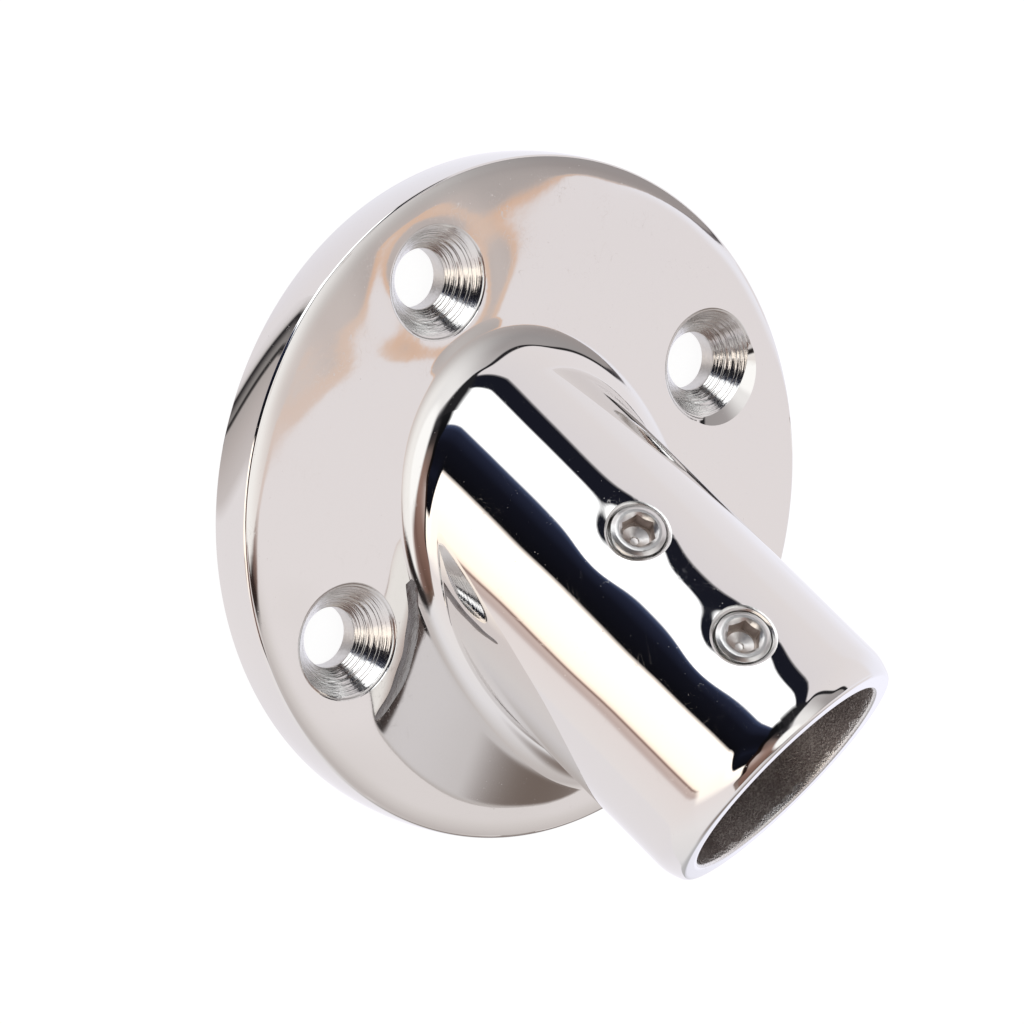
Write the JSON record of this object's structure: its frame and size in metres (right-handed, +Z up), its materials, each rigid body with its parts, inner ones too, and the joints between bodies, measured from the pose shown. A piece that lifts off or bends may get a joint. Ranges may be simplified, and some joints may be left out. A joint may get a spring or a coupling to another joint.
{
  "type": "stanchion base",
  "caption": "Round polished stainless deck base with a socket leaning at 45 degrees for a rail tube, countersunk mounting holes and hex socket set screws that clamp the tube.",
  "frame": {"origin": "centre of the round underside, on the deck", "axes": "+Z up out of the deck, +X the way the socket leans, +Y along the deck so that the three are right-handed"},
  "size_m": [0.0781, 0.073, 0.0416],
  "materials": {
    "polished_stainless": "mirror-polished stainless casting",
    "screw_steel": "turned stainless"
  },
  "bodies": {
    "base": {"base_casting": "polished_stainless"},
    "inner_screw": {"set_screw_inner": "screw_steel"},
    "outer_screw": {"set_screw_outer": "screw_steel"}
  },
  "joints": [
    {"name": "inner_screw_travel", "type": "slide", "parent": "base", "child": "inner_screw", "axis": [-0.7071, 0, 0.7071], "range_m": [-0.0015, 0.0035]},
    {"name": "outer_screw_travel", "type": "slide", "parent": "base", "child": "outer_screw", "axis": [-0.7071, 0, 0.7071], "range_m": [-0.0012, 0.0035]}
  ]
}
